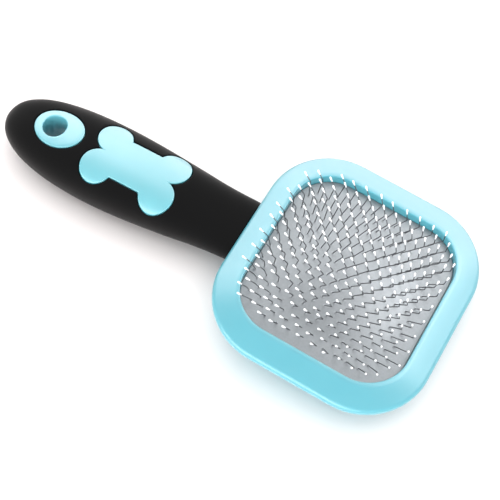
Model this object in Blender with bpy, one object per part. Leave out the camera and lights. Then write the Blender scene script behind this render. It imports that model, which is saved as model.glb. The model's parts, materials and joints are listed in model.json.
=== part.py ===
"""A slicker brush for grooming pets, at its real size.

The brush lies on its back with its pins up. The flat back of the head and the belly of the
handle both rest on z = 0. Its pieces are laid out in the head's own axes: x runs along the
brush from the handle to the tip, z runs along the pins, and the origin is in the middle of
the rim's top edge. The empty brush_axes tips those axes to the angle at which the brush lies.

Sizes are in millimetres, and MM turns them into Blender's metres.
"""

import math

import bmesh
import bpy
from mathutils import Vector

MM = 0.001

# How the brush lies: the angle between the pad and the table, and how far the middle of the
# rim is from the middle of the whole brush.
REST_TILT = 5.06
RIM_MIDDLE_X = 57.44

# Clearances between pieces, and beyond the end of a cut.
GAP = 0.35
THROUGH = 6.0

# Edges that turn by more degrees than this stay sharp, and the size of the empties' axes.
SHARP_ANGLE = 35.0
EMPTY_SIZE = 20.0

# The rim's inner edge is a rounded rectangle. The head's other outlines are offset from it, a
# little less at the ends of the head than along its sides, where the rim is broader.
OPENING_HALF_X = 36.3
OPENING_HALF_Y = 37.8
OPENING_RADIUS = 18.7
SPREAD_X = 0.968
SPREAD_Y = 1.065
CORNER_STEPS = 8

# The rim: its width, how far its outer side drops, the offsets and heights over its bevelled
# face from the inner edge outwards, and the skirt round the pad.
RIM_WIDTH = 9.3
RIM_DROP = 4.6
RIM_FACE = (
    (-1.1, -1.0),
    (-0.85, -0.3),
    (-0.3, 0.0),
    (1.2, -0.4),
    (7.4, -3.05),
    (8.5, -3.55),
    (9.05, -4.0),
)
RIM_BASE = -6.35
SKIRT_INSET = 1.2
SKIRT_THICKNESS = 2.2
SKIRT_FACE_TOP = -6.2
SKIRT_BASE = -8.0

# The shell behind the rim: a dish whose floor lies flat on the table. Its inner side follows
# its outer side, a wall further in, and stops at a share of the way down.
SHELL_TOP = -6.65
SHELL_TOP_OFFSET = 9.0
SHELL_FLAT_OFFSET = -4.6
SHELL_BULGE_OFFSET = 3.0
SHELL_WALL = 2.8
INNER_BULGE_SHARE = 0.9
FLOOR_SHARE = 0.85
BACK_DEPTH = 23.0
SHELL_STEPS = 6

# The air-cushioned pad, which sinks as a whole, with its pins, by up to 2.5 mm. Its crown meets
# a level margin along the skirt.
PAD_EDGE = -6.6
PAD_CROWN = 5.0
PAD_MARGIN = -4.7
PAD_BACK = -9.5
PAD_SIDE_OFFSET = -1.6
PAD_FLANGE_OFFSET = -0.2
PAD_FLANGE_TOP = -8.35
PAD_RINGS = (0.82, 0.58, 0.3)

# The bent pins stand in staggered rows across the pad, each row clinched on one bar behind it.
FIRST_ROW = -13
LAST_ROW = 11
ROW_PITCH = 2.54
PIN_HALF_PITCH = 3.0
FIELD_MIDDLE_X = -1.1
FIELD_HALF_X = 32.3
FIELD_HALF_Y = 30.5
FIELD_RADIUS = 13.0
WIRE_REACH = 0.35
BAR_TOP = -9.85
BAR_HEIGHT = 0.5
BAR_OVERHANG = 0.6
STEM_RISE = 0.4
LOWER_LENGTH = 6.8
LOWER_LEAN = math.tan(math.radians(26.6))
UPPER_LENGTH = 5.1
UPPER_LEAN = -math.tan(math.radians(29.4))
SPLAY_X = 0.0219
SPLAY_Y = 0.0160
BEAD_LENGTH = 2.2
BEAD_NOSE = 0.6
BEAD_SWELL = 1.5

# The handle: x, top line, belly line and half width, from inside the head to the rounded end.
HANDLE_STATIONS = (
    (-32.0, -4.9, -18.0, 14.0),
    (-46.0, -4.9, -18.6, 14.0),
    (-60.0, -5.1, -22.6, 14.5),
    (-76.0, -5.6, -27.0, 16.1),
    (-95.0, -6.6, -30.9, 17.7),
    (-112.0, -8.2, -32.9, 18.3),
    (-128.0, -10.1, -33.5, 17.5),
    (-141.0, -12.3, -32.7, 15.2),
    (-150.0, -14.9, -30.6, 11.7),
    (-155.8, -18.2, -27.2, 6.9),
    (-158.2, -22.6, -22.6, 0.0),
)
STATION_STEPS = 2
SECTION_POINTS = 28
SECTION_POWER = 2.3

# The stiff core inside the handle: x, middle height, half height and half width.
CORE_STATIONS = (
    (-36.0, -14.8, 2.1, 8.0),
    (-47.0, -14.8, 2.1, 8.0),
    (-60.0, -14.4, 3.2, 8.6),
    (-76.0, -16.4, 4.2, 9.5),
    (-95.0, -19.2, 5.2, 10.4),
    (-115.0, -21.2, 5.2, 9.4),
)
CORE_CORNER = 1.0
CORE_CORNER_STEPS = 2

# The oval eyelet that lines the hanging hole near the handle's end. Its blank reaches from
# below the belly to INLAY_TOP, and the handle's own form trims it flush.
EYELET_X = -132.8
EYELET_HALF_X = 11.0
EYELET_HALF_Y = 8.5
HOLE_X = -135.1
HOLE_RADIUS = 5.0
EYELET_BASE = -50.0
ROUND_STEPS = 32

# The bone-shaped inlay in the top of the handle: four round lobes joined by a broad waist.
BONE_X = -96.5
LOBE_X = 13.8
LOBE_Y = 7.05
LOBE_RADIUS = 7.25
WAIST_HALF_Y = 9.35
LOBE_STEPS = 9
BONE_THICKNESS = 2.2
INLAY_TOP = 2.0
INLAY_BASE = -18.0


# ---------------------------------------------------------------- materials


def material(name, srgb, roughness, metallic=0.0):
    """A plain Principled material. The colour is given as 0 to 255 sRGB values."""
    made = bpy.data.materials.new(name)
    made.use_nodes = True
    shader = made.node_tree.nodes["Principled BSDF"]
    linear = [(value / 255.0) ** 2.2 for value in srgb]
    shader.inputs["Base Color"].default_value = (*linear, 1.0)
    shader.inputs["Roughness"].default_value = roughness
    shader.inputs["Metallic"].default_value = metallic
    made.diffuse_color = (*linear, 1.0)
    return made


# ---------------------------------------------------------------- outlines


def rounded_rectangle(half_x, half_y, radius, steps=CORNER_STEPS):
    """The corner arcs of a rounded rectangle, anticlockwise from the +X side."""
    points = []
    for quarter, (side_x, side_y) in enumerate(((1, 1), (-1, 1), (-1, -1), (1, -1))):
        centre_x = side_x * (half_x - radius)
        centre_y = side_y * (half_y - radius)
        for step in range(steps + 1):
            angle = math.pi / 2 * (quarter + step / steps)
            points.append(
                (centre_x + radius * math.cos(angle), centre_y + radius * math.sin(angle))
            )
    return points


def head_outline(offset):
    """The rim's inner edge, moved outwards by offset."""
    return rounded_rectangle(
        OPENING_HALF_X + offset * SPREAD_X,
        OPENING_HALF_Y + offset * SPREAD_Y,
        OPENING_RADIUS + offset,
    )


def ellipse(centre_x, half_x, half_y):
    turns = (2 * math.pi * step / ROUND_STEPS for step in range(ROUND_STEPS))
    return [(centre_x + half_x * math.cos(a), half_y * math.sin(a)) for a in turns]


def bone(grow):
    """The bone's outline, anticlockwise, with its edge moved outwards by grow."""
    radius = LOBE_RADIUS + grow
    first = -math.asin(LOBE_Y / radius)
    last = math.pi - math.asin((WAIST_HALF_Y + grow - LOBE_Y) / radius)
    lobe = []
    for step in range(LOBE_STEPS + 1):
        angle = first + (last - first) * step / LOBE_STEPS
        lobe.append((LOBE_X + radius * math.cos(angle), LOBE_Y + radius * math.sin(angle)))
    outline = list(lobe)
    outline += [(-x, y) for x, y in reversed(lobe)]
    outline += [(-x, -y) for x, y in lobe[1:]]
    outline += [(x, -y) for x, y in reversed(lobe[1:])]
    return [(BONE_X + x, y) for x, y in outline]


def quadratic(start, handle, end, steps):
    """Points along a quadratic curve from start to end that leaves towards handle."""
    points = []
    for step in range(steps + 1):
        t = step / steps
        weights = ((1 - t) ** 2, 2 * t * (1 - t), t**2)
        points.append(
            tuple(
                sum(w * p[axis] for w, p in zip(weights, (start, handle, end)))
                for axis in (0, 1)
            )
        )
    return points


# ---------------------------------------------------------------- mesh building


def add_object(name, mesh, look, parent, location=(0.0, 0.0, 0.0)):
    """A named object for one piece, smooth except at its sharp edges."""
    mesh.name = name
    mesh.shade_smooth()
    mesh.set_sharp_from_angle(angle=math.radians(SHARP_ANGLE))
    piece = bpy.data.objects.new(name, mesh)
    bpy.context.scene.collection.objects.link(piece)
    piece.parent = parent
    piece.location = Vector(location) * MM
    if look:
        mesh.materials.append(look)
    return piece


def add_cutter(name, mesh, parent):
    """A hidden object that only shapes other pieces."""
    cutter = add_object(name, mesh, None, parent)
    cutter.hide_render = True
    cutter.display_type = "WIRE"
    return cutter


def cut(piece, cutter, operation="DIFFERENCE"):
    modifier = piece.modifiers.new(cutter.name, "BOOLEAN")
    modifier.operation = operation
    modifier.solver = "EXACT"
    modifier.object = cutter


def mesh_of(bm):
    bmesh.ops.recalc_face_normals(bm, faces=bm.faces)
    mesh = bpy.data.meshes.new("piece")
    bm.to_mesh(mesh)
    bm.free()
    return mesh


def add_bands(bm, rows):
    """Quads between neighbouring loops of vertices."""
    for lower, upper in zip(rows, rows[1:]):
        for i in range(len(lower)):
            bm.faces.new((lower[i - 1], lower[i], upper[i], upper[i - 1]))


def loft(loops, tip=None):
    """A solid through equal loops, capped at its ends. A tip closes the last loop to a point."""
    bm = bmesh.new()
    rows = [[bm.verts.new(Vector(p) * MM) for p in loop] for loop in loops]
    add_bands(bm, rows)
    bm.faces.new(rows[0])
    if tip is None:
        bm.faces.new(rows[-1])
    else:
        point = bm.verts.new(Vector(tip) * MM)
        for i in range(len(rows[-1])):
            bm.faces.new((rows[-1][i - 1], rows[-1][i], point))
    return mesh_of(bm)


def ring(loops):
    """A solid ring: the last loop joins the first."""
    bm = bmesh.new()
    rows = [[bm.verts.new(Vector(p) * MM) for p in loop] for loop in loops]
    add_bands(bm, rows + rows[:1])
    return mesh_of(bm)


def prism(outline, low, high):
    return loft([[(x, y, z) for x, y in outline] for z in (low, high)])


# ---------------------------------------------------------------- head


def back_height(x):
    """The height of the table under the brush, in the head's axes."""
    return -BACK_DEPTH + math.tan(math.radians(REST_TILT)) * x


def dish_loop(offset, share):
    """An outline of the dish, share of the way down from its rim to the table."""
    loop = []
    for x, y in head_outline(offset):
        loop.append((x, y, SHELL_TOP + share * (back_height(x) - SHELL_TOP)))
    return loop


def dish_curve(inset):
    """Offset and share down the dish's outer side, or a wall thickness inside it."""
    depth = FLOOR_SHARE if inset else 1.0
    return quadratic(
        (SHELL_TOP_OFFSET - inset, 0.0),
        (SHELL_BULGE_OFFSET - INNER_BULGE_SHARE * inset, depth),
        (SHELL_FLAT_OFFSET - inset, depth),
        SHELL_STEPS,
    )


def build_bezel(look, parent):
    """The coloured rim, which slopes down outwards, and the skirt that guides the pad's edge."""
    skirt_back = SKIRT_THICKNESS - SKIRT_INSET
    profile = [
        (-SKIRT_INSET, SKIRT_BASE),
        (-SKIRT_INSET, SKIRT_FACE_TOP),
        *RIM_FACE,
        (RIM_WIDTH, -RIM_DROP),
        (SHELL_TOP_OFFSET, RIM_BASE),
        (skirt_back, RIM_BASE),
        (skirt_back, SKIRT_BASE),
    ]
    loops = [[(x, y, z) for x, y in head_outline(offset)] for offset, z in profile]
    return add_object("bezel_frame", ring(loops), look, parent)


def build_shell(look, parent, core_cutter):
    """The dish behind the rim, open at the top and let open at the neck for the core."""
    inside = [dish_loop(*point) for point in reversed(dish_curve(SHELL_WALL))]
    outside = [dish_loop(*point) for point in dish_curve(0.0)]
    shell = add_object("head_shell", loft(inside + outside), look, parent)
    cut(shell, core_cutter)
    return shell


def head_envelope(parent):
    """The head's outer form with a clearance round it, which trims the handle's neck."""
    upper = [(x, y, 0.0) for x, y in head_outline(RIM_WIDTH + GAP)]
    widest = [(x, y, -RIM_DROP) for x, y in head_outline(RIM_WIDTH + GAP)]
    lower = [dish_loop(offset + GAP, share) for offset, share in dish_curve(0.0)]
    foot = [(x, y, z - GAP) for x, y, z in lower[-1]]
    return add_cutter("head_envelope", loft([upper, widest, *lower, foot]), parent)


# ---------------------------------------------------------------- pad and pins


def pad_height(x, y):
    """The crowned face of the pad, which levels off along the skirt."""
    across = 1.0 - (x / (OPENING_HALF_X + PAD_SIDE_OFFSET)) ** 2
    along = 1.0 - (y / (OPENING_HALF_Y + PAD_SIDE_OFFSET)) ** 2
    crown = PAD_EDGE + PAD_CROWN * max(across, 0.0) * max(along, 0.0)
    return max(crown, PAD_MARGIN)


def in_field(x, y):
    """Whether a pin stands here: the field of pins is a rounded rectangle too."""
    beyond_x = max(abs(x - FIELD_MIDDLE_X) - (FIELD_HALF_X - FIELD_RADIUS), 0.0)
    beyond_y = max(abs(y) - (FIELD_HALF_Y - FIELD_RADIUS), 0.0)
    return math.hypot(beyond_x, beyond_y) <= FIELD_RADIUS


def pin_rows():
    """(x, [y, ...]) for each row of pins. Neighbouring rows are staggered."""
    most = int(FIELD_HALF_Y / PIN_HALF_PITCH)
    rows = []
    for row in range(FIRST_ROW, LAST_ROW + 1):
        x = row * ROW_PITCH
        places = (y for y in range(-most, most + 1) if (row + y) % 2 == 0)
        rows.append((x, [y * PIN_HALF_PITCH for y in places if in_field(x, y * PIN_HALF_PITCH)]))
    return rows


def pin_path(x, y):
    """The middle line of one pin above its bar: bend, knee, start of bead, widest bead, tip."""
    bend = Vector((x, y, pad_height(x, y) + STEM_RISE))
    lower = Vector((LOWER_LEAN + SPLAY_X * x, SPLAY_Y * y, 1.0)).normalized()
    upper = Vector((UPPER_LEAN + SPLAY_X * x, SPLAY_Y * y, 1.0)).normalized()
    knee = bend + lower * LOWER_LENGTH
    along = (UPPER_LENGTH - BEAD_LENGTH, UPPER_LENGTH - BEAD_NOSE, UPPER_LENGTH)
    return [bend, knee] + [knee + upper * length for length in along]


def pin_row_mesh(x, places):
    """One row: a bar with its bent three-sided wires standing on it, in the row's own axes."""
    bm = bmesh.new()
    half = WIRE_REACH * math.sqrt(3) / 2
    left, right = -WIRE_REACH / 2, WIRE_REACH
    ends = (places[0] - BAR_OVERHANG, places[-1] + BAR_OVERHANG)

    def point(px, py, pz):
        return bm.verts.new(Vector((px, py, pz)) * MM)

    feet = [
        (point(left, y - half, 0.0), point(right, y, 0.0), point(left, y + half, 0.0))
        for y in places
    ]
    left_ends = [point(left, y, 0.0) for y in ends]
    right_ends = [point(right, y, 0.0) for y in ends]
    left_base = [point(left, y, -BAR_HEIGHT) for y in ends]
    right_base = [point(right, y, -BAR_HEIGHT) for y in ends]

    left_edge = [left_ends[0], *(v for foot in feet for v in (foot[0], foot[2])), left_ends[1]]
    right_edge = [right_ends[0], *(foot[1] for foot in feet), right_ends[1]]
    for i in range(len(right_edge) - 1):
        near, far = 2 * i, 2 * i + 1
        bm.faces.new((left_edge[near], right_edge[i], right_edge[i + 1], left_edge[far]))
    bm.faces.new(left_edge + left_base[::-1])
    bm.faces.new(right_edge + right_base[::-1])
    bm.faces.new((left_base[0], right_base[0], right_base[1], left_base[1]))
    for end in (0, 1):
        bm.faces.new((left_ends[end], right_ends[end], right_base[end], left_base[end]))

    widths = (1.0, 1.0, 1.0, BEAD_SWELL)
    for foot, y in zip(feet, places):
        path = [p - Vector((x, 0.0, BAR_TOP)) for p in pin_path(x, y)]
        rows = [list(foot)]
        for middle, width in zip(path, widths):
            corners = ((left, -half), (right, 0.0), (left, half))
            rows.append(
                [point(middle.x + width * cx, middle.y + width * cy, middle.z) for cx, cy in corners]
            )
        add_bands(bm, rows)
        tip = point(*path[-1])
        for i in range(3):
            bm.faces.new((rows[-1][i - 1], rows[-1][i], tip))
    return mesh_of(bm)


def build_pin_rows(look, parent):
    for number, (x, places) in enumerate(pin_rows(), start=1):
        add_object(f"pin_row_{number:02d}", pin_row_mesh(x, places), look, parent, (x, 0.0, BAR_TOP))


def slot_cutter(parent):
    """A slot through the pad for each row of pins."""
    bm = bmesh.new()
    room = 2 * WIRE_REACH + GAP
    for x, places in pin_rows():
        box = bmesh.ops.create_cube(bm, size=1.0)["verts"]
        low = Vector((x - WIRE_REACH / 2 - GAP, places[0] - room, PAD_BACK - THROUGH))
        high = Vector((x + WIRE_REACH + GAP, places[-1] + room, THROUGH))
        for vertex in box:
            share = vertex.co + Vector((0.5, 0.5, 0.5))
            vertex.co = Vector(a + (b - a) * s for a, b, s in zip(low, high, share)) * MM
    return add_cutter("slot_cutter", mesh_of(bm), parent)


def build_pad(look, parent):
    """The crowned pad with a flange under the skirt. Each row of pins has its slot."""
    flange = head_outline(PAD_FLANGE_OFFSET)
    side = head_outline(PAD_SIDE_OFFSET)
    loops = [
        [(x, y, PAD_BACK) for x, y in flange],
        [(x, y, PAD_FLANGE_TOP) for x, y in flange],
        [(x, y, PAD_FLANGE_TOP) for x, y in side],
    ]
    for scale in (1.0, *PAD_RINGS):
        loops.append([(x * scale, y * scale, pad_height(x * scale, y * scale)) for x, y in side])
    pad = add_object("cushion_pad", loft(loops, tip=(0.0, 0.0, pad_height(0.0, 0.0))), look, parent)
    cut(pad, slot_cutter(parent))
    return pad


# ---------------------------------------------------------------- handle


def smooth_stations(stations, steps):
    """Points on a smooth curve through the stations, which turns back on itself at the last."""
    before_last, last = stations[-2], stations[-1]
    mirrored = (before_last[0], before_last[2], before_last[1], -before_last[3])
    padded = [stations[0], *stations, mirrored]
    points = []
    for i in range(1, len(padded) - 2):
        p0, p1, p2, p3 = padded[i - 1 : i + 3]
        for step in range(steps):
            t = step / steps
            points.append(
                tuple(
                    0.5
                    * (
                        2 * b
                        + (c - a) * t
                        + (2 * a - 5 * b + 4 * c - d) * t**2
                        + (3 * b - a - 3 * c + d) * t**3
                    )
                    for a, b, c, d in zip(p0, p1, p2, p3)
                )
            )
    return points, last


def handle_section(x, top, belly, half_width):
    """A rounded section across the handle."""
    middle, half_height = (top + belly) / 2, (top - belly) / 2
    loop = []
    for step in range(SECTION_POINTS):
        angle = 2 * math.pi * step / SECTION_POINTS
        c, s = math.cos(angle), math.sin(angle)
        y = half_width * math.copysign(abs(c) ** (2 / SECTION_POWER), c)
        z = half_height * math.copysign(abs(s) ** (2 / SECTION_POWER), s)
        loop.append((x, y, middle + z))
    return loop


def handle_form():
    """The handle's outer form, from inside the head to its rounded end."""
    points, (x, top, _, _) = smooth_stations(HANDLE_STATIONS, STATION_STEPS)
    return loft([handle_section(*point) for point in points], tip=(x, 0.0, top))


def handle_inside(inset):
    """The handle's form, inset, along the stretch that holds the bone."""
    points, _ = smooth_stations(HANDLE_STATIONS, STATION_STEPS)
    middle = [p for p in points if HANDLE_STATIONS[2][0] >= p[0] >= HANDLE_STATIONS[6][0]]
    return loft([handle_section(x, t - inset, b + inset, w - inset) for x, t, b, w in middle])


def core_form(clearance):
    """The core's tapered bar, or the cavity that holds it. The cavity runs out through the neck."""
    loops = []
    for number, (x, middle, half_height, half_width) in enumerate(CORE_STATIONS):
        if number == 0:
            x += clearance
        elif number == len(CORE_STATIONS) - 1:
            x -= clearance
        outline = rounded_rectangle(
            half_width + clearance, half_height + clearance, CORE_CORNER, CORE_CORNER_STEPS
        )
        loops.append([(x, y, middle + z) for y, z in outline])
    return loft(loops)


def build_handle(looks, parent, core_cutter):
    """The core, the soft grip over it, and the eyelet and the bone let into the grip."""
    top = INLAY_TOP
    envelope = head_envelope(parent)
    eyelet_room = add_cutter(
        "eyelet_room",
        prism(ellipse(EYELET_X, EYELET_HALF_X + GAP, EYELET_HALF_Y + GAP), EYELET_BASE, top),
        parent,
    )
    bone_room = add_cutter("bone_room", prism(bone(GAP), INLAY_BASE, top), parent)
    cut(bone_room, add_cutter("under_bone_room", handle_inside(BONE_THICKNESS + GAP), parent))

    add_object("handle_core", core_form(0.0), looks["core"], parent)

    grip = add_object("handle_grip", handle_form(), looks["grip"], parent)
    for cutter in (envelope, core_cutter, eyelet_room, bone_room):
        cut(grip, cutter)

    outer_form = add_cutter("outer_form", handle_form(), parent)
    oval = ellipse(EYELET_X, EYELET_HALF_X, EYELET_HALF_Y)
    eyelet = add_object("eyelet_insert", prism(oval, EYELET_BASE, top), looks["aqua"], parent)
    cut(eyelet, outer_form, "INTERSECT")
    round_hole = ellipse(HOLE_X, HOLE_RADIUS, HOLE_RADIUS)
    hole = prism(round_hole, EYELET_BASE - THROUGH, top + THROUGH)
    cut(eyelet, add_cutter("hanging_hole", hole, parent))

    inlay = add_object("bone_inlay", prism(bone(0.0), INLAY_BASE, top), looks["aqua"], parent)
    cut(inlay, outer_form, "INTERSECT")
    cut(inlay, add_cutter("under_bone", handle_inside(BONE_THICKNESS), parent))


# ---------------------------------------------------------------- brush


def add_empty(name, parent=None):
    empty = bpy.data.objects.new(name, None)
    empty.empty_display_size = EMPTY_SIZE * MM
    bpy.context.scene.collection.objects.link(empty)
    empty.parent = parent
    return empty


def main():
    for old in list(bpy.data.objects):
        bpy.data.objects.remove(old, do_unlink=True)

    looks = {
        "aqua": material("aqua_plastic", (168, 236, 244), 0.3),
        "core": material("core_plastic", (168, 236, 244), 0.4),
        "grip": material("black_grip_rubber", (30, 30, 31), 0.5),
        "pad": material("silver_pad_face", (190, 193, 197), 0.45, 0.2),
        "pins": material("steel_pins", (205, 207, 210), 0.25, 1.0),
    }

    brush_axes = add_empty("brush_axes")
    rim_height = BACK_DEPTH * math.cos(math.radians(REST_TILT))
    brush_axes.location = Vector((RIM_MIDDLE_X, 0.0, rim_height)) * MM
    brush_axes.rotation_euler = (0.0, math.radians(REST_TILT), 0.0)
    cushion_slide = add_empty("cushion_slide", brush_axes)

    core_cutter = add_cutter("core_room", core_form(GAP), brush_axes)
    build_shell(looks["aqua"], brush_axes, core_cutter)
    build_bezel(looks["aqua"], brush_axes)
    build_pad(looks["pad"], cushion_slide)
    build_pin_rows(looks["pins"], cushion_slide)
    build_handle(looks, brush_axes, core_cutter)


main()
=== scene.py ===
"""The finished look of the slicker brush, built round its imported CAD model.

Each piece is laid out in the head's own axes, in millimetres: x runs along the brush from the
handle to the tip, z runs along the pins, and the origin is in the middle of the rim's top
edge. HEAD carries those axes to where the brush lies.
"""

import json
import math
import random
from bisect import bisect_left

import bmesh
import bpy
from mathutils import Matrix, Vector


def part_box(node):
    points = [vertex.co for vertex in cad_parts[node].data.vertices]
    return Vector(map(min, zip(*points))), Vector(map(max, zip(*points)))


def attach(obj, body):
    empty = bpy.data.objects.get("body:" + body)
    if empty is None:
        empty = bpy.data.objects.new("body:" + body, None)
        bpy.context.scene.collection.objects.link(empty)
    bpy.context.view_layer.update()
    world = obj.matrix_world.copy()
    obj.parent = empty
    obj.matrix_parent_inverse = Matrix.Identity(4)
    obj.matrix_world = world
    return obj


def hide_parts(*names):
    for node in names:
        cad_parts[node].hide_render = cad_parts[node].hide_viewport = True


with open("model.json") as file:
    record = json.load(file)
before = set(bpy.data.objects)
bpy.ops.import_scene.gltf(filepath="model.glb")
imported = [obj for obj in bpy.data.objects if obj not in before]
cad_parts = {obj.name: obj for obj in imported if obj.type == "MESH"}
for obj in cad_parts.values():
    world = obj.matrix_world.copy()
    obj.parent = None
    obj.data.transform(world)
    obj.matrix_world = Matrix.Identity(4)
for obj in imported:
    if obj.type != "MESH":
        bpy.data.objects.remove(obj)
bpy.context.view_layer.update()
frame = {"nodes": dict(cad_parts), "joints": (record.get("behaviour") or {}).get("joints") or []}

MM = 0.001
GAP = 0.35
THROUGH = 6.0
FIXED, CUSHION = "handle_and_head", "cushion"

# Head outline: the rim's inner edge is a rounded rectangle. The other outlines are offset from
# it, a little less at the ends of the head than along its sides.
OPENING_HALF_X = 36.3
OPENING_HALF_Y = 37.8
OPENING_RADIUS = 18.7
SPREAD_X = 0.968
SPREAD_Y = 1.065
CORNER_STEPS = 20
SIDE_STEPS = 8

# Rim and skirt. Across the rim, its inner edge rolls over onto a crown that falls away to a
# rounded outer edge. Each curve is start, handle and end, as (offset, height), and its steps.
RIM_WIDTH = 9.3
RIM_DROP = 4.6
RIM_BASE = -6.35
SKIRT_INSET = 1.2
SKIRT_THICKNESS = 2.2
SKIRT_BASE = -8.0
SKIRT_WALL_TOP = -4.5
RIM_CURVES = (
    ((-1.19, -0.75), (-1.17, -0.02), (-0.65, 0.0), 8),
    ((-0.4, 0.0), (0.4, -0.03), (1.2, -0.36), 5),
    ((2.4, -0.84), (4.9, -1.86), (7.2, -2.95), 4),
    ((7.7, -3.17), (9.1, -3.8), (RIM_WIDTH - 0.05, -4.9), 10),
    ((RIM_WIDTH, -5.6), (RIM_WIDTH - 0.02, RIM_BASE), (9.0, RIM_BASE), 4),
)

# Dish behind the rim: its top, bulge and flat floor as offsets from the rim's inner edge. The lip
# at its top is softened by offset and share of the way down.
BACK_DEPTH = 23.0
SHELL_TOP = -6.65
SHELL_TOP_OFFSET = 9.0
SHELL_FLAT_OFFSET = -4.6
SHELL_BULGE_OFFSET = 3.0
SHELL_WALL = 2.8
SHELL_STEPS = 22
SHELL_LIP = ((-0.1, 0.0), (0.08, 0.012))
FLOOR_SHARE = 0.85

# Pad: a crown that would meet the skirt at PAD_EDGE eases into a level margin before it, and a
# flange lies under the skirt.
PAD_EDGE = -6.6
PAD_CROWN = 5.0
PAD_MARGIN = -4.2
PAD_EASE = 0.25
PAD_BACK = -9.5
PAD_SIDE_OFFSET = -1.24
PAD_FLANGE_OFFSET = -0.2
PAD_FLANGE_TOP = -8.35
# How the pad's skin rolls in at its edge: the outline's scale and its drop, from below upwards.
PAD_ROLL = ((1.0, 0.3), (0.9985, 0.12), (0.996, 0.03))
PAD_ROLL_DROP = 0.02
PAD_TOP_SCALE = 0.99
PAD_STEPS = 36

# Pins: staggered rows across a field that is a rounded rectangle. A pin leans to the tip of the
# brush up to its knee and back to the handle above it. Pins splay away from the middle, wander a
# little, and never lean out by more than MOST_LEAN, which keeps them off the rim when pressed.
FIRST_ROW = -13
LAST_ROW = 11
ROW_PITCH = 2.54
PIN_HALF_PITCH = 3.0
FIELD_MIDDLE_X = -1.1
FIELD_HALF_X = 32.3
FIELD_HALF_Y = 30.5
FIELD_RADIUS = 13.0
BAR_TOP = -9.85
BAR_HEIGHT = 0.5
STEM_RISE = 0.4
LOWER_LENGTH = 6.8
LOWER_LEAN = math.tan(math.radians(26.6))
UPPER_LENGTH = 5.1
UPPER_LEAN = -math.tan(math.radians(29.4))
SPLAY_X = 0.0219
SPLAY_Y = 0.0160
MOST_LEAN = 0.75
WIRE_RADIUS = 0.2
WIRE_SIDES = 8
WIRE_INTO_BEAD = 0.4
CROWN_OVERHANG = 0.5
# The crown behind a row: places along it as shares of its length, and its radius there as a
# share of the wire's.
CROWN_PROFILE = ((0.0, 0.6), (0.02, 1.0), (0.5, 1.0), (0.98, 1.0), (1.0, 0.6))
BEND_REACH = 0.4
BEND_STEPS = 3
PIN_WANDER = 0.05
BEAD_SIDES = 12
BEAD_LENGTH = 2.3
# A bead as (distance along it, radius), and the pad's pucker round a wire as (radius, height).
BEAD_PROFILE = (
    (0.0, 0.23),
    (0.5, 0.27),
    (0.95, 0.34),
    (1.35, 0.41),
    (1.7, 0.44),
    (1.98, 0.39),
    (2.18, 0.26),
    (2.27, 0.11),
)
SOCKET_PROFILE = ((0.85, -0.02), (0.62, 0.05), (0.45, 0.09), (0.33, 0.04), (0.27, -0.12))
PIN_SEED = 11

# Handle: x, top line, belly line and half width, from inside the head to the rounded end.
HANDLE_STATIONS = (
    (-32.0, -4.9, -18.0, 14.0),
    (-46.0, -4.9, -18.6, 14.0),
    (-60.0, -5.1, -22.6, 14.5),
    (-76.0, -5.6, -27.0, 16.1),
    (-95.0, -6.6, -30.9, 17.7),
    (-112.0, -8.2, -32.9, 18.3),
    (-128.0, -10.1, -33.5, 17.5),
    (-141.0, -12.3, -32.7, 15.2),
    (-150.0, -14.9, -30.6, 11.7),
    (-155.8, -18.2, -27.2, 6.9),
    (-158.2, -22.6, -22.6, 0.0),
)
STATION_STEPS = 10
SECTION_POINTS = 96
SECTION_POWER = 2.3

# Eyelet, hanging hole and bone. The bone has a round lobe at each corner, and its waist runs
# between them.
EYELET_X = -132.8
EYELET_HALF_X = 11.0
EYELET_HALF_Y = 8.5
HOLE_X = -135.1
HOLE_RADIUS = 5.0
ROUND_STEPS = 96
BONE_X = -96.5
LOBE_X = 13.8
LOBE_Y = 7.05
LOBE_RADIUS = 7.25
WAIST_HALF_Y = 9.35
WAIST_STEPS = 10
LOBE_STEPS = 36
BONE_THICKNESS = 2.2

# How a recess in the grip opens out at its lip, and how an inlay's edge rounds over:
# depth below the handle's surface, and how far the outline grows there.
LIP_FLARE = ((0.45, 0.0), (0.25, 0.03), (0.12, 0.09), (0.04, 0.18), (-0.05, 0.34), (-0.6, 0.9))
EDGE_ROUND = ((0.42, 0.0), (0.26, -0.03), (0.13, -0.1), (0.04, -0.2), (0.0, -0.36))
FACE_SHARES = (0.04, 0.16, 0.28, 0.4, 0.52, 0.64, 0.76, 0.86, 0.94, 1.0)
EYELET_FACE_SHARES = (0.3, 0.6, 0.85)
# The eyelet's edge rounds over into its hole by these multiples of EDGE_ROUND.
HOLE_ROUND_WIDTH = 1.6
HOLE_ROUND_DEPTH = 1.3


# ---------------------------------------------------------------- the head's axes

press = Vector(frame["joints"][0]["axis"])
TILT = math.atan2(-press.x, -press.z)
rim_low, rim_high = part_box("bezel_frame")
HEAD = (
    Matrix.Translation(
        (
            (rim_low.x + rim_high.x) / 2 + RIM_DROP * MM * math.sin(TILT),
            0.0,
            BACK_DEPTH * MM * math.cos(TILT),
        )
    )
    @ Matrix.Rotation(TILT, 4, "Y")
)


# ---------------------------------------------------------------- materials


def new_material(name):
    """An empty material with its shader, and a helper that adds and links nodes."""
    made = bpy.data.materials.new(name)
    made.use_nodes = True
    nodes, links = made.node_tree.nodes, made.node_tree.links
    shader = nodes["Principled BSDF"]

    def add(kind, inputs=None, **settings):
        node = nodes.new(kind)
        for key, value in settings.items():
            setattr(node, key, value)
        for key, value in (inputs or {}).items():
            if isinstance(value, bpy.types.NodeSocket):
                links.new(value, node.inputs[key])
            else:
                node.inputs[key].default_value = value
        return node

    return made, shader, add, links


def srgb(red, green, blue):
    """Linear colour from 0 to 255 sRGB values."""
    return (*((value / 255.0) ** 2.2 for value in (red, green, blue)), 1.0)


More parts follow.
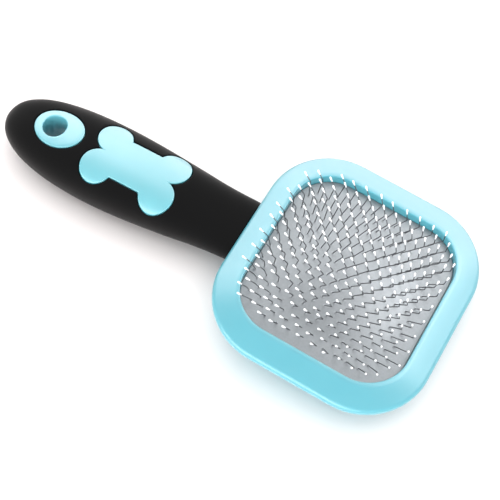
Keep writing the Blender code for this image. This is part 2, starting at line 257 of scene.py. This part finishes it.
def noise(add, scale, detail=3.0, roughness=0.5):
    """Noise through the piece's own space, in features per metre."""
    place = add("ShaderNodeTexCoord").outputs["Object"]
    return add(
        "ShaderNodeTexNoise",
        {"Vector": place, "Scale": scale, "Detail": detail, "Roughness": roughness},
    ).outputs["Fac"]


def ramp(add, source, low, high, start=0.3, end=0.7):
    """Maps source from start..end to low..high."""
    node = add(
        "ShaderNodeMapRange",
        {"Value": source, "From Min": start, "From Max": end, "To Min": low, "To Max": high},
    )
    return node.outputs["Result"]


def mixed(add, share, first, second):
    """A colour between two others."""
    node = add("ShaderNodeMix", data_type="RGBA")
    node.id_data.links.new(share, node.inputs[0])
    node.inputs[6].default_value = first
    node.inputs[7].default_value = second
    return node.outputs[2]


def bumped(add, height, strength, distance):
    """A normal that a height texture tilts."""
    return add(
        "ShaderNodeBump", {"Height": height, "Strength": strength, "Distance": distance}
    ).outputs["Normal"]


def aqua_plastic(name="aqua_plastic", base=(76, 158, 173), pale=(83, 164, 178)):
    """Satin moulded plastic: faint flow clouds, a very fine skin and a clear surface gloss."""
    made, shader, add, links = new_material(name)
    clouds = mixed(add, noise(add, 60.0), srgb(*base), srgb(*pale))
    links.new(clouds, shader.inputs["Base Color"])
    links.new(ramp(add, noise(add, 350.0), 0.36, 0.46), shader.inputs["Roughness"])
    links.new(bumped(add, noise(add, 1800.0), 0.06, 0.0002), shader.inputs["Normal"])
    shader.inputs["IOR"].default_value = 1.5
    shader.inputs["Coat Weight"].default_value = 1.0
    shader.inputs["Coat Roughness"].default_value = 0.3
    shader.inputs["Subsurface Weight"].default_value = 0.5
    shader.inputs["Subsurface Radius"].default_value = (1.0, 1.0, 1.0)
    shader.inputs["Subsurface Scale"].default_value = 0.003
    return made


def grip_rubber():
    """Black soft-touch rubber: fine moulded grain, worn a little smoother in broad patches."""
    made, shader, add, links = new_material("grip_rubber")
    blacks = mixed(add, noise(add, 90.0, 5.0), srgb(7, 7, 8), srgb(11, 11, 12))
    links.new(blacks, shader.inputs["Base Color"])
    wear = ramp(add, noise(add, 45.0, 4.0), 0.42, 0.54)
    links.new(wear, shader.inputs["Roughness"])
    place = add("ShaderNodeTexCoord").outputs["Object"]
    pebbles = add("ShaderNodeTexVoronoi", {"Vector": place, "Scale": 2600.0})
    grain = bumped(add, pebbles.outputs["Distance"], 0.12, 0.0001)
    links.new(grain, shader.inputs["Normal"])
    shader.inputs["Specular IOR Level"].default_value = 0.16
    shader.inputs["Sheen Weight"].default_value = 0.03
    shader.inputs["Sheen Roughness"].default_value = 0.35
    return made


def pad_face():
    """Silver-grey facing of the pad: satin, with a fine felted grain."""
    made, shader, add, links = new_material("pad_face")
    greys = mixed(add, noise(add, 1400.0, 4.0), srgb(118, 122, 125), srgb(135, 139, 142))
    links.new(greys, shader.inputs["Base Color"])
    links.new(ramp(add, noise(add, 500.0), 0.36, 0.46), shader.inputs["Roughness"])
    links.new(bumped(add, noise(add, 2600.0, 2.0), 0.1, 0.0001), shader.inputs["Normal"])
    shader.inputs["Metallic"].default_value = 0.45
    return made


def steel_wire():
    """Drawn steel wire, darkened in streaks where it has been handled."""
    made, shader, add, links = new_material("steel_wire")
    streaks = mixed(add, noise(add, 700.0), srgb(88, 89, 92), srgb(132, 133, 136))
    links.new(streaks, shader.inputs["Base Color"])
    links.new(ramp(add, noise(add, 2400.0), 0.24, 0.4), shader.inputs["Roughness"])
    shader.inputs["Metallic"].default_value = 1.0
    return made


def white_bead():
    """The smooth white drop at the end of a pin."""
    made, shader, add, links = new_material("white_bead")
    whites = mixed(add, noise(add, 900.0), srgb(240, 242, 244), srgb(252, 253, 254))
    links.new(whites, shader.inputs["Base Color"])
    links.new(ramp(add, noise(add, 2000.0), 0.16, 0.26), shader.inputs["Roughness"])
    return made


def studio_floor():
    """Matt white paper, very slightly warm."""
    made, shader, add, links = new_material("studio_floor")
    paper = mixed(add, noise(add, 4.0), srgb(250, 244, 243), srgb(252, 247, 246))
    links.new(paper, shader.inputs["Base Color"])
    shader.inputs["Roughness"].default_value = 0.8
    shader.inputs["Specular IOR Level"].default_value = 0.1
    return made


AQUA = aqua_plastic()
INLAY = aqua_plastic("inlay_plastic", (97, 171, 182), (103, 176, 187))
CORE = aqua_plastic("core_plastic", (80, 160, 172), (88, 168, 180))
RUBBER = grip_rubber()
PAD = pad_face()
STEEL = steel_wire()
WHITE = white_bead()


# ---------------------------------------------------------------- mesh building


def as_mesh(bm, name):
    """A mesh from bm, with its faces turned outwards."""
    bmesh.ops.recalc_face_normals(bm, faces=bm.faces)
    mesh = bpy.data.meshes.new(name)
    bm.to_mesh(mesh)
    bm.free()
    return mesh


def placed(name, mesh):
    """An object for a mesh that is laid out in the head's axes, which HEAD puts in its place."""
    mesh.transform(HEAD)
    piece = bpy.data.objects.new(name, mesh)
    bpy.context.scene.collection.objects.link(piece)
    return piece


def finish_piece(piece, looks, body, replaced, sharp=38.0):
    """Smooth shading, material, body and the CAD nodes that the piece stands for."""
    piece.data.shade_smooth()
    piece.data.set_sharp_from_angle(angle=math.radians(sharp))
    for look in looks:
        piece.data.materials.append(look)
    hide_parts(*replaced)
    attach(piece, body)
    return piece


def add_loops(bm, loops):
    """Vertices for loops of points in millimetres."""
    return [[bm.verts.new(Vector(p) * MM) for p in loop] for loop in loops]


def add_bands(bm, rows):
    """Quads between neighbouring loops of vertices."""
    faces = []
    for lower, upper in zip(rows, rows[1:]):
        for i in range(len(lower)):
            faces.append(bm.faces.new((lower[i - 1], lower[i], upper[i], upper[i - 1])))
    return faces


def add_fan(bm, row, tip):
    """Triangles from a loop of vertices to a point."""
    point = bm.verts.new(Vector(tip) * MM)
    for i in range(len(row)):
        bm.faces.new((row[i - 1], row[i], point))


def add_seam(bm, row):
    """Closes a loop that mirrors itself, from its first point to its middle one."""
    half = len(row) // 2
    for i in range(half):
        corners = [row[i], row[i + 1], row[-i - 1], row[-i]]
        bm.faces.new(list(dict.fromkeys(corners)))


def lofted(name, loops, start=None, end=None):
    """A solid through equal loops. Each end is closed flat, by a seam or by a fan to a point."""
    bm = bmesh.new()
    rows = add_loops(bm, loops)
    add_bands(bm, rows)
    for row, tip in ((rows[0], start), (rows[-1], end)):
        if tip is None:
            bm.faces.new(row)
        elif tip == "seam":
            add_seam(bm, row)
        else:
            add_fan(bm, row, tip)
    return as_mesh(bm, name)


def ring(name, loops):
    """A solid ring: the last loop joins the first."""
    bm = bmesh.new()
    rows = add_loops(bm, loops)
    add_bands(bm, rows + rows[:1])
    return as_mesh(bm, name)


def carve(piece, *cutters):
    """Cuts each cutter from the piece for good, and deletes the cutter."""
    for cutter in cutters:
        modifier = piece.modifiers.new(cutter.name, "BOOLEAN")
        modifier.solver = "EXACT"
        modifier.object = cutter
    shapes = bpy.context.evaluated_depsgraph_get()
    made = bpy.data.meshes.new_from_object(piece.evaluated_get(shapes))
    piece.modifiers.clear()
    piece.data = made
    for cutter in cutters:
        bpy.data.objects.remove(cutter)


def grown_node(node, grow):
    """A copy of a CAD node's solid with its surface moved outwards, in world axes."""
    bm = bmesh.new()
    bm.from_mesh(frame["nodes"][node].data)
    bmesh.ops.remove_doubles(bm, verts=bm.verts, dist=0.01 * MM)
    bmesh.ops.recalc_face_normals(bm, faces=bm.faces)
    bm.normal_update()
    moves = [(v, v.normal * grow * v.calc_shell_factor() * MM) for v in bm.verts]
    for vertex, move in moves:
        vertex.co += move
    copy = bpy.data.objects.new(node + "_room", as_mesh(bm, node + "_room"))
    bpy.context.scene.collection.objects.link(copy)
    return copy


# ---------------------------------------------------------------- outlines


def rounded_rectangle(half_x, half_y, radius):
    """A rounded rectangle, anticlockwise, with points along its straight sides too."""
    points = []
    for quarter, (side_x, side_y) in enumerate(((1, 1), (-1, 1), (-1, -1), (1, -1))):
        centre = Vector((side_x * (half_x - radius), side_y * (half_y - radius)))
        for step in range(CORNER_STEPS + 1):
            angle = math.pi / 2 * (quarter + step / CORNER_STEPS)
            points.append(centre + radius * Vector((math.cos(angle), math.sin(angle))))
    outline = []
    for number, point in enumerate(points):
        outline.append(tuple(point))
        if number % (CORNER_STEPS + 1) == CORNER_STEPS:
            following = points[(number + 1) % len(points)]
            for step in range(1, SIDE_STEPS):
                outline.append(tuple(point.lerp(following, step / SIDE_STEPS)))
    return outline


def head_outline(offset):
    """The rim's inner edge, moved outwards by offset."""
    return rounded_rectangle(
        OPENING_HALF_X + offset * SPREAD_X,
        OPENING_HALF_Y + offset * SPREAD_Y,
        OPENING_RADIUS + offset,
    )


def oval(grow):
    """The eyelet's outline, with its edge moved outwards by grow."""
    turns = [2 * math.pi * step / ROUND_STEPS for step in range(ROUND_STEPS)]
    half_x, half_y = EYELET_HALF_X + grow, EYELET_HALF_Y + grow
    return [(EYELET_X + half_x * math.cos(a), half_y * math.sin(a)) for a in turns]


def bone(grow, share=1.0):
    """The bone's outline, anticlockwise, with its edge moved outwards by grow.

    A share below 1 draws it in towards the line between the lobes.
    """
    radius = LOBE_RADIUS + grow
    waist = WAIST_HALF_Y + grow
    first = -math.asin(min(1.0, LOBE_Y / radius))
    last = math.pi - math.asin((waist - LOBE_Y) / radius)
    quarter = []
    for step in range(LOBE_STEPS + 1):
        angle = first + (last - first) * step / LOBE_STEPS
        quarter.append((LOBE_X + radius * math.cos(angle), LOBE_Y + radius * math.sin(angle)))
    quarter[0] = (quarter[0][0], 0.0)
    corner = quarter[-1][0]
    quarter += [(corner * (1 - step / WAIST_STEPS), waist) for step in range(1, WAIST_STEPS)]
    upper = quarter + [(0.0, waist)] + [(-x, y) for x, y in reversed(quarter)]
    outline = upper + [(x, -y) for x, y in reversed(upper[1:-1])]
    spine = [max(-LOBE_X, min(LOBE_X, x)) for x, _ in outline]
    return [(BONE_X + s + (x - s) * share, y * share) for s, (x, y) in zip(spine, outline)]


def quadratic(start, handle, end, steps):
    """Points along a curve from start to end that leans towards its handle."""
    points = []
    for step in range(steps + 1):
        t = step / steps
        weights = ((1 - t) ** 2, 2 * t * (1 - t), t**2)
        points.append(
            tuple(sum(w * p[a] for w, p in zip(weights, (start, handle, end))) for a in (0, 1))
        )
    return points


# ---------------------------------------------------------------- head


def build_rim():
    """The rim: a rounded inner edge, a crown that falls away outwards, and a skirt below."""
    skirt_back = SKIRT_THICKNESS - SKIRT_INSET
    profile = [
        (-SKIRT_INSET, SKIRT_BASE),
        (-SKIRT_INSET, SKIRT_WALL_TOP),
        *(point for curve in RIM_CURVES for point in quadratic(*curve)),
        (skirt_back, RIM_BASE),
        (skirt_back, SKIRT_BASE),
    ]
    loops = [[(x, y, z) for x, y in head_outline(offset)] for offset, z in profile]
    rim = placed("rim", ring("rim", loops))
    return finish_piece(rim, [AQUA], FIXED, ["bezel_frame"])


def back_height(x):
    """The height of the table under the brush, in the head's axes."""
    return -BACK_DEPTH + math.tan(TILT) * x


def dish_loop(offset, share):
    """An outline of the dish, share of the way down from its rim to the table."""
    return [
        (x, y, SHELL_TOP + share * (back_height(x) - SHELL_TOP)) for x, y in head_outline(offset)
    ]


def dish_curve(inset):
    """The dish's side, as (offset, share) from its rim to its floor, drawn in by inset."""
    depth = FLOOR_SHARE if inset else 1.0
    return quadratic(
        (SHELL_TOP_OFFSET - inset, 0.0),
        (SHELL_BULGE_OFFSET - 0.9 * inset, depth),
        (SHELL_FLAT_OFFSET - inset, depth),
        SHELL_STEPS,
    )


def build_shell():
    """The dish behind the rim, with a softened lip at the seam and a flat floor."""
    inside = [dish_loop(*point) for point in reversed(dish_curve(SHELL_WALL))]
    lip = [dish_loop(SHELL_TOP_OFFSET + out, share) for out, share in SHELL_LIP]
    outside = [dish_loop(*point) for point in dish_curve(0.0)[1:]]
    shell = placed("shell", lofted("shell", inside + lip + outside))
    carve(shell, grown_node("handle_core", GAP))
    return finish_piece(shell, [AQUA], FIXED, ["head_shell"])


def head_envelope():
    """The head's outer form with a clearance round it, which trims the handle's neck."""
    upper = [(x, y, THROUGH) for x, y in head_outline(RIM_WIDTH + GAP)]
    widest = [(x, y, -RIM_DROP) for x, y in head_outline(RIM_WIDTH + GAP)]
    lower = [dish_loop(offset + GAP, share) for offset, share in dish_curve(0.0)]
    foot = [(x, y, z - GAP) for x, y, z in lower[-1]]
    return placed("head_envelope", lofted("head_envelope", [upper, widest, *lower, foot]))


# ---------------------------------------------------------------- pad and pins


def pad_height(x, y):
    """A crown over the middle, which eases into a nearly level margin along the skirt."""
    across = 1.0 - (x / (OPENING_HALF_X + PAD_SIDE_OFFSET)) ** 2
    along = 1.0 - (y / (OPENING_HALF_Y + PAD_SIDE_OFFSET)) ** 2
    crown = PAD_EDGE + PAD_CROWN * max(across, 0.0) * max(along, 0.0)
    return crown + PAD_EASE * math.log1p(math.exp((PAD_MARGIN - crown) / PAD_EASE))


def build_pad():
    """The crowned pad: a tight skin over trapped air, rolled down at its edge to a flange."""
    flange = head_outline(PAD_FLANGE_OFFSET)
    side = head_outline(PAD_SIDE_OFFSET)
    edge = [(x, y, pad_height(x, y) - PAD_ROLL_DROP) for x, y in side]
    loops = [
        [(x, y, PAD_BACK) for x, y in flange],
        [(x, y, PAD_FLANGE_TOP) for x, y in flange],
        [(x, y, PAD_FLANGE_TOP) for x, y in side],
    ]
    loops += [[(x * scale, y * scale, z - drop) for x, y, z in edge] for scale, drop in PAD_ROLL]
    for step in range(PAD_STEPS):
        scale = PAD_TOP_SCALE * math.cos(math.pi / 2 * step / PAD_STEPS)
        loops.append([(x * scale, y * scale, pad_height(x * scale, y * scale)) for x, y in side])
    mesh = lofted("pad", loops, start=(0.0, 0.0, PAD_BACK), end=(0.0, 0.0, pad_height(0, 0)))
    pad = placed("pad", mesh)
    finish_piece(pad, [PAD], CUSHION, ["cushion_pad"], sharp=50.0)
    return pad


def in_field(x, y):
    """Whether a pin stands here: the field of pins is a rounded rectangle too."""
    beyond_x = max(abs(x - FIELD_MIDDLE_X) - (FIELD_HALF_X - FIELD_RADIUS), 0.0)
    beyond_y = max(abs(y) - (FIELD_HALF_Y - FIELD_RADIUS), 0.0)
    return math.hypot(beyond_x, beyond_y) <= FIELD_RADIUS


def pin_rows():
    """(x, [y, ...]) for each row of pins. Neighbouring rows are staggered."""
    most = int(FIELD_HALF_Y / PIN_HALF_PITCH)
    rows = []
    for row in range(FIRST_ROW, LAST_ROW + 1):
        x = row * ROW_PITCH
        places = (y for y in range(-most, most + 1) if (row + y) % 2 == 0)
        rows.append((x, [y * PIN_HALF_PITCH for y in places if in_field(x, y * PIN_HALF_PITCH)]))
    return rows


def softened(points, reach, steps):
    """The same line with each corner turned into a smooth bend."""
    line = [points[0]]
    for before, corner, after in zip(points, points[1:], points[2:]):
        start = corner + (before - corner).normalized() * reach
        end = corner + (after - corner).normalized() * reach
        for step in range(steps + 1):
            t = step / steps
            line.append(start * (1 - t) ** 2 + corner * 2 * t * (1 - t) + end * t**2)
    line.append(points[-1])
    return line


def add_tube(bm, line, radii, sides, index):
    """A round tube along a line, with a radius for each point, closed at both ends."""
    reference = Vector((0.0, 1.0, 0.0))
    rows = []
    for i, point in enumerate(line):
        along = (line[min(i + 1, len(line) - 1)] - line[max(i - 1, 0)]).normalized()
        across = along.cross(reference).normalized()
        other = across.cross(along)
        row = []
        for side in range(sides):
            angle = 2 * math.pi * side / sides
            offset = (across * math.cos(angle) + other * math.sin(angle)) * radii[i]
            row.append(bm.verts.new((point + offset) * MM))
        rows.append(row)
    faces = add_bands(bm, rows) + [bm.faces.new(rows[0]), bm.faces.new(rows[-1])]
    for face in faces:
        face.material_index = index


def add_pin(bm, x, y, wander):
    """One wire from its crown behind the pad up to its white bead, and the pad's pucker.

    No pin leans out so far that it would meet the rim when the pad is pressed.
    """
    foot = Vector((x, y, BAR_TOP))
    bend = Vector((x, y, pad_height(x, y) + STEM_RISE))
    lean_x = max(SPLAY_X * x + wander.gauss(0.0, PIN_WANDER), -MOST_LEAN)
    lean_y = SPLAY_Y * y + wander.gauss(0.0, PIN_WANDER)
    lower = Vector((LOWER_LEAN + lean_x, lean_y, 1.0)).normalized()
    upper = Vector((UPPER_LEAN + lean_x, lean_y, 1.0)).normalized()
    knee = bend + lower * LOWER_LENGTH
    bead = knee + upper * (UPPER_LENGTH - BEAD_LENGTH)
    line = softened([foot, bend, knee, bead + upper * WIRE_INTO_BEAD], BEND_REACH, BEND_STEPS)
    add_tube(bm, line, [WIRE_RADIUS] * len(line), WIRE_SIDES, 0)
    drop = [bead + upper * along for along, _ in BEAD_PROFILE]
    add_tube(bm, drop, [radius for _, radius in BEAD_PROFILE], BEAD_SIDES, 1)
    pucker = [Vector((x, y, pad_height(x, y) + rise)) for _, rise in SOCKET_PROFILE]
    add_tube(bm, pucker, [radius for radius, _ in SOCKET_PROFILE], BEAD_SIDES, 2)


def add_crown(bm, x, first, last):
    """The staple crowns behind the pad, as one round wire along the row."""
    start = Vector((x, first, BAR_TOP - BAR_HEIGHT / 2))
    end = Vector((x, last, BAR_TOP - BAR_HEIGHT / 2))
    rows = []
    for share, swell in CROWN_PROFILE:
        row = []
        for side in range(WIRE_SIDES):
            angle = 2 * math.pi * side / WIRE_SIDES
            offset = Vector((math.cos(angle), 0.0, math.sin(angle))) * WIRE_RADIUS * swell
            row.append(bm.verts.new((start.lerp(end, share) + offset) * MM))
        rows.append(row)
    add_bands(bm, rows)
    bm.faces.new(rows[0])
    bm.faces.new(rows[-1])


def build_pins():
    """A piece for each row of pins, with the crown that ties the row together."""
    wander = random.Random(PIN_SEED)
    rows = []
    for number, (x, places) in enumerate(pin_rows(), start=1):
        bm = bmesh.new()
        for y in places:
            add_pin(bm, x, y, wander)
        add_crown(bm, x, places[0] - CROWN_OVERHANG, places[-1] + CROWN_OVERHANG)
        name = f"pins_row_{number:02d}"
        row = placed(name, as_mesh(bm, name))
        finish_piece(row, [STEEL, WHITE, PAD], CUSHION, [f"pin_row_{number:02d}"])
        rows.append(row)
    return rows


# ---------------------------------------------------------------- handle


def between(p0, p1, p2, p3, t):
    """A point t of the way from p1 to p2, on the smooth curve through all four."""
    point = []
    for a, b, c, d in zip(p0, p1, p2, p3):
        square = (2 * a - 5 * b + 4 * c - d) * t**2
        cube = (3 * b - a - 3 * c + d) * t**3
        point.append(0.5 * (2 * b + (c - a) * t + square + cube))
    return tuple(point)


def handle_curve():
    """Points on a smooth curve through the stations, which turns back on itself at the end."""
    before_last, last = HANDLE_STATIONS[-2], HANDLE_STATIONS[-1]
    mirrored = (before_last[0], before_last[2], before_last[1], -before_last[3])
    padded = [HANDLE_STATIONS[0], *HANDLE_STATIONS, mirrored]
    points = [
        between(*four, step / STATION_STEPS)
        for four in zip(padded, padded[1:], padded[2:], padded[3:])
        for step in range(STATION_STEPS)
    ]
    return points + [last]


HANDLE = handle_curve()
HANDLE_X = [-point[0] for point in HANDLE]


def handle_at(x):
    """Top line, belly line and half width of the handle at x."""
    after = min(max(bisect_left(HANDLE_X, -x), 1), len(HANDLE) - 1)
    first, second = HANDLE[after - 1], HANDLE[after]
    share = (x - first[0]) / (second[0] - first[0])
    return [a + (b - a) * share for a, b in zip(first[1:], second[1:])]


def handle_surface(x, y, side=1):
    """Height of the handle's surface over (x, y): its top for side 1, its belly for side -1."""
    top, belly, half_width = handle_at(x)
    across = min(abs(y) / half_width, 1.0)
    rise = (1.0 - across**SECTION_POWER) ** (1 / SECTION_POWER)
    return (top + belly) / 2 + side * (top - belly) / 2 * rise


def handle_section(x, top, belly, half_width):
    """The handle's outline across at x, between an ellipse and a rounded rectangle."""
    middle, half_height = (top + belly) / 2, (top - belly) / 2
    loop = []
    for step in range(SECTION_POINTS):
        angle = 2 * math.pi * step / SECTION_POINTS
        c, s = math.cos(angle), math.sin(angle)
        y = half_width * math.copysign(abs(c) ** (2 / SECTION_POWER), c)
        z = half_height * math.copysign(abs(s) ** (2 / SECTION_POWER), s)
        loop.append((x, y, middle + z))
    return loop


def on_handle(outline, depth, side=1):
    """An outline laid on the handle's surface, sunk by depth."""
    return [(x, y, handle_surface(x, y, side) - side * depth) for x, y in outline]


def bone_floor(grow, depth):
    """Loops that open from the bone's middle line to its outline, sunk by depth."""
    return [on_handle(bone(grow, share), depth) for share in FACE_SHARES]


def bone_room():
    """The recess for the bone, which opens out at its lip."""
    loops = bone_floor(GAP, BONE_THICKNESS + GAP)
    loops += [on_handle(bone(GAP + flare), depth) for depth, flare in LIP_FLARE]
    loops.append([(x, y, 0.0) for x, y in bone(GAP + LIP_FLARE[-1][1])])
    return placed("bone_room", lofted("bone_room", loops, start="seam"))


def eyelet_room():
    """The oval hole through the grip, which opens out at both lips."""
    above = [on_handle(oval(GAP + flare), depth) for depth, flare in LIP_FLARE]
    above.append([(x, y, 0.0) for x, y, _ in above[-1]])
    below = [on_handle(oval(GAP + flare), depth, -1) for depth, flare in LIP_FLARE]
    below.append([(x, y, 2 * HANDLE_STATIONS[-1][1]) for x, y, _ in below[-1]])
    return placed("eyelet_room", lofted("eyelet_room", below[::-1] + above))


def build_grip():
    """The soft grip, with its neck cut to the head and its recesses for the two inlays."""
    *sections, (x, top, _, _) = HANDLE
    mesh = lofted("grip", [handle_section(*point) for point in sections], end=(x, 0.0, top))
    grip = placed("grip", mesh)
    carve(grip, head_envelope(), grown_node("handle_core", GAP), bone_room(), eyelet_room())
    return finish_piece(grip, [RUBBER], FIXED, ["handle_grip"], sharp=42.0)


def finish_core():
    """The bar inside the grip is the CAD's own solid, in plain moulded plastic."""
    core = frame["nodes"]["handle_core"]
    core.data.materials.clear()
    core.data.materials.append(CORE)


def build_bone():
    """The bone inlay: a rounded edge, and a face that follows the handle."""
    loops = bone_floor(0.0, BONE_THICKNESS)
    loops += [on_handle(bone(inset), depth) for depth, inset in EDGE_ROUND]
    loops += bone_floor(EDGE_ROUND[-1][1], 0.0)[-2::-1]
    bone_piece = placed("bone", lofted("bone", loops, start="seam", end="seam"))
    return finish_piece(bone_piece, [INLAY], FIXED, ["bone_inlay"], sharp=50.0)


def eyelet_loop(share, grow, depth, side):
    """A loop share of the way from the oval's edge to the hole's, laid on the handle."""
    radius = HOLE_RADIUS - grow
    loop = []
    for step, (x, y) in enumerate(oval(grow if share < 1 else 0.0)):
        angle = 2 * math.pi * step / ROUND_STEPS
        hole = (HOLE_X + radius * math.cos(angle), radius * math.sin(angle))
        loop.append((x + (hole[0] - x) * share, y + (hole[1] - y) * share))
    return on_handle(loop, depth, side)


def build_eyelet():
    """The eyelet: an oval plug right through the grip, with the round hanging hole in it."""
    loops = []
    for side in (1, -1):
        face = [eyelet_loop(0.0, inset, depth, side) for depth, inset in EDGE_ROUND]
        face += [eyelet_loop(share, EDGE_ROUND[-1][1], 0.0, side) for share in EYELET_FACE_SHARES]
        face += [
            eyelet_loop(1.0, HOLE_ROUND_WIDTH * inset, HOLE_ROUND_DEPTH * depth, side)
            for depth, inset in reversed(EDGE_ROUND)
        ]
        loops += face if side == 1 else face[::-1]
    eyelet = placed("eyelet", ring("eyelet", loops))
    return finish_piece(eyelet, [INLAY], FIXED, ["eyelet_insert"], sharp=50.0)


# ---------------------------------------------------------------- studio

# The camera turns round the head, rises over it and rolls, all in the head's own axes. Its aim
# passes beside the head's middle by the two distances.
CAMERA_TURN = math.radians(18.65)
CAMERA_RISE = math.radians(65.27)
CAMERA_ROLL = math.radians(12.14)
CAMERA_DISTANCE = 495.8
CAMERA_LEFT = 38.37
CAMERA_UP = 9.97
CAMERA_ANGLE = math.radians(22.0)
CAMERA_NEAREST = 0.01
FLOOR_HALF_SIZE = 3.0
FLOOR_DROP = 0.0001

# Brightness of the studio at the horizon and overhead, and on its dim and its bright side.
SKY_BY_HEIGHT = (1.25, 1.0)
SKY_BY_SIDE = (0.95, 1.05)
SKY_REACH = 0.9
BRIGHT_SIDE = (0.3, 0.9, 0.15)
# Lights: place, size and power. One lamp lights the brush and the other the floor, where it
# gives the soft shadow. The cards give the gloss.
BRUSH_LAMP = ((0.25, -1.3, 0.7), (1.6, 1.0), 24.0)
FLOOR_LAMP = ((0.0, 0.25, 1.4), (1.8, 1.6), 13.0)
CARDS = (
    ((0.0, 1.35, 0.6), (2.4, 1.3), 36.0),
    ((0.0, 0.75, 1.25), (2.4, 0.9), 12.0),
    ((-1.0, 0.55, 0.95), (1.1, 1.2), 15.0),
    ((0.85, 0.65, 1.1), (1.1, 1.1), 19.0),
    ((-0.2, -1.3, 0.5), (2.0, 0.7), 22.0),
)


def place_camera():
    """The camera looks down on the head from its near side, as the angles above say."""
    back = Vector(
        (
            math.sin(CAMERA_TURN) * math.cos(CAMERA_RISE),
            -math.cos(CAMERA_TURN) * math.cos(CAMERA_RISE),
            math.sin(CAMERA_RISE),
        )
    )
    level = Vector((math.cos(CAMERA_TURN), math.sin(CAMERA_TURN), 0.0))
    roll = Matrix.Rotation(CAMERA_ROLL, 3, back)
    right = roll @ level
    up = roll @ back.cross(level)
    spot = (back * CAMERA_DISTANCE - right * CAMERA_LEFT + up * CAMERA_UP) * MM
    data = bpy.data.cameras.new("camera")
    data.angle = CAMERA_ANGLE
    data.clip_start = CAMERA_NEAREST
    camera = bpy.data.objects.new("camera", data)
    bpy.context.scene.collection.objects.link(camera)
    columns = Matrix((right, up, back)).transposed().to_4x4()
    camera.matrix_world = HEAD @ Matrix.Translation(spot) @ columns
    bpy.context.scene.camera = camera


def add_softbox(name, place, size, power):
    """A rectangular light that faces the origin."""
    data = bpy.data.lights.new(name, "AREA")
    data.shape = "RECTANGLE"
    data.size, data.size_y = size
    data.energy = power
    light = bpy.data.objects.new(name, data)
    bpy.context.scene.collection.objects.link(light)
    light.location = place
    light.rotation_euler = Vector(place).to_track_quat("Z", "Y").to_euler()
    return light


def link_light(linking, kind, things, state):
    """Makes only these things take or block a light, or everything but them."""
    group = bpy.data.collections.new(kind)
    for thing in things:
        group.objects.link(thing)
    for entry in group.collection_objects:
        entry.light_linking.link_state = state
    setattr(linking, kind, group)


def light_studio(floor, grip, rows):
    """A white studio: bright low down and on the far side, dimmer overhead and near by."""
    world = bpy.data.worlds.new("studio")
    bpy.context.scene.world = world
    world.use_nodes = True
    nodes, links = world.node_tree.nodes, world.node_tree.links
    direction = nodes.new("ShaderNodeTexCoord").outputs["Generated"]
    parts = nodes.new("ShaderNodeSeparateXYZ")
    links.new(direction, parts.inputs[0])

    def level(source, start, end, low, high):
        node = nodes.new("ShaderNodeMapRange")
        node.interpolation_type = "SMOOTHSTEP"
        links.new(source, node.inputs["Value"])
        values = {"From Min": start, "From Max": end, "To Min": low, "To Max": high}
        for key, value in values.items():
            node.inputs[key].default_value = value
        return node.outputs["Result"]

    side = nodes.new("ShaderNodeVectorMath")
    side.operation = "DOT_PRODUCT"
    side.inputs[1].default_value = BRIGHT_SIDE
    links.new(direction, side.inputs[0])
    total = nodes.new("ShaderNodeMath")
    total.operation = "MULTIPLY"
    by_height = level(parts.outputs["Z"], 0.0, SKY_REACH, *SKY_BY_HEIGHT)
    by_side = level(side.outputs["Value"], -SKY_REACH, SKY_REACH, *SKY_BY_SIDE)
    links.new(by_height, total.inputs[0])
    links.new(by_side, total.inputs[1])
    links.new(total.outputs[0], nodes["Background"].inputs["Strength"])
    nodes["Background"].inputs["Color"].default_value = (1.0, 1.0, 1.0, 1.0)
    for name, lamp, state in (("brush", BRUSH_LAMP, "EXCLUDE"), ("floor", FLOOR_LAMP, "INCLUDE")):
        light = add_softbox(name + "_lamp", *lamp)
        light.visible_glossy = False
        link_light(light.light_linking, "receiver_collection", [floor], state)
        link_light(light.light_linking, "blocker_collection", rows, "EXCLUDE")
    for number, card in enumerate(CARDS, start=1):
        light = add_softbox(f"card_{number}", *card)
        light.visible_diffuse = False
        link_light(light.light_linking, "receiver_collection", [grip], "EXCLUDE")


def lay_floor():
    """The plain pale floor, a hair below the brush."""
    bm = bmesh.new()
    bmesh.ops.create_grid(bm, x_segments=1, y_segments=1, size=FLOOR_HALF_SIZE)
    floor = bpy.data.objects.new("floor", as_mesh(bm, "floor"))
    bpy.context.scene.collection.objects.link(floor)
    floor.location.z = -FLOOR_DROP
    floor.data.materials.append(studio_floor())
    return floor


# ---------------------------------------------------------------- the whole brush

build_rim()
build_shell()
build_pad()
rows = build_pins()
grip = build_grip()
build_bone()
build_eyelet()
finish_core()
light_studio(lay_floor(), grip, rows)
place_camera()
bpy.context.scene.view_settings.view_transform = "Standard"

bpy.context.view_layer.update()
